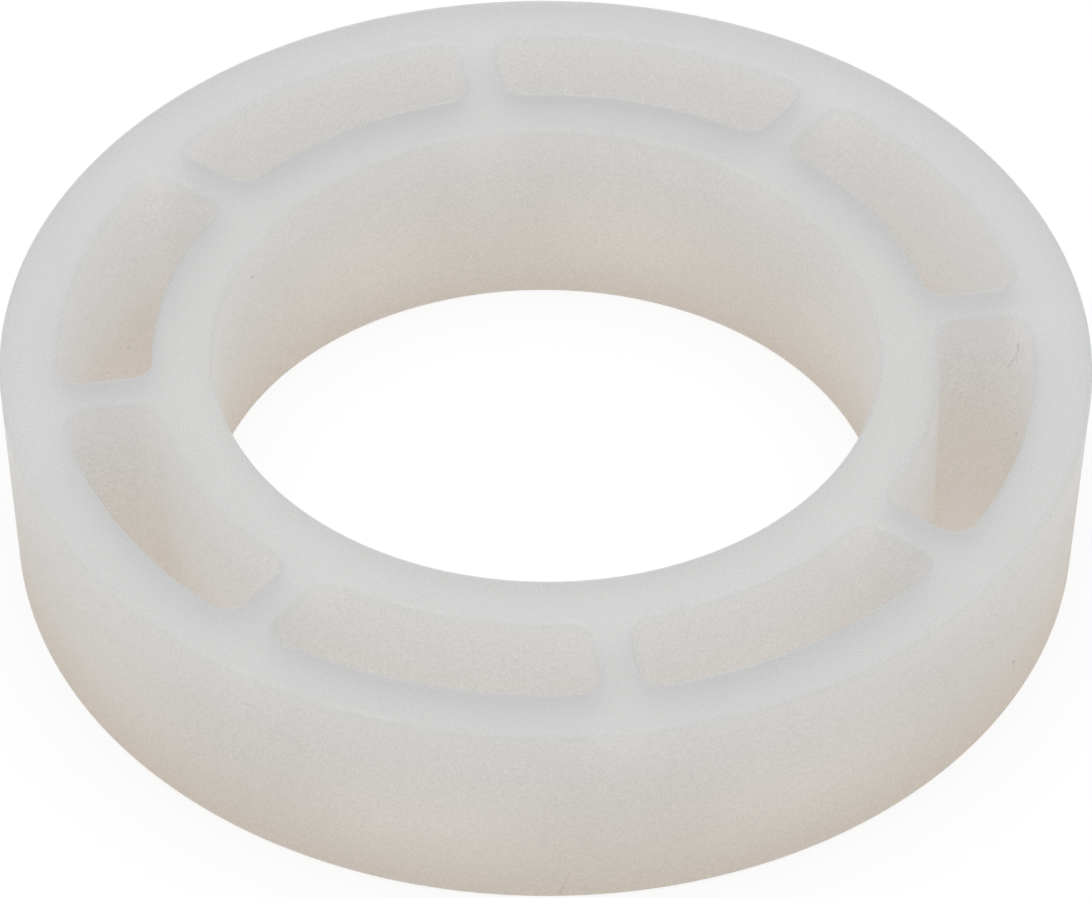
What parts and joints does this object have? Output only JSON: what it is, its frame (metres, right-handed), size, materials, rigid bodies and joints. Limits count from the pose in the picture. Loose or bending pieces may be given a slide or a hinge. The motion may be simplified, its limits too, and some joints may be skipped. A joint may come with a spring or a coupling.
{
  "type": "spacer washer",
  "caption": "Thick plastic spacer ring with a plain bore and blind pockets between ribs in its upper face.",
  "frame": {"origin": "centre of the lower face, on the bore's axis", "axes": "+Z along the bore axis towards the face with the pockets; +X along the middle of one rib"},
  "size_m": [0.042, 0.042, 0.009],
  "materials": {
    "milky_plastic": "fine matte as-moulded surface, milky and slightly translucent"
  },
  "bodies": {
    "root": {"spacer_ring": "milky_plastic"}
  },
  "joints": []
}
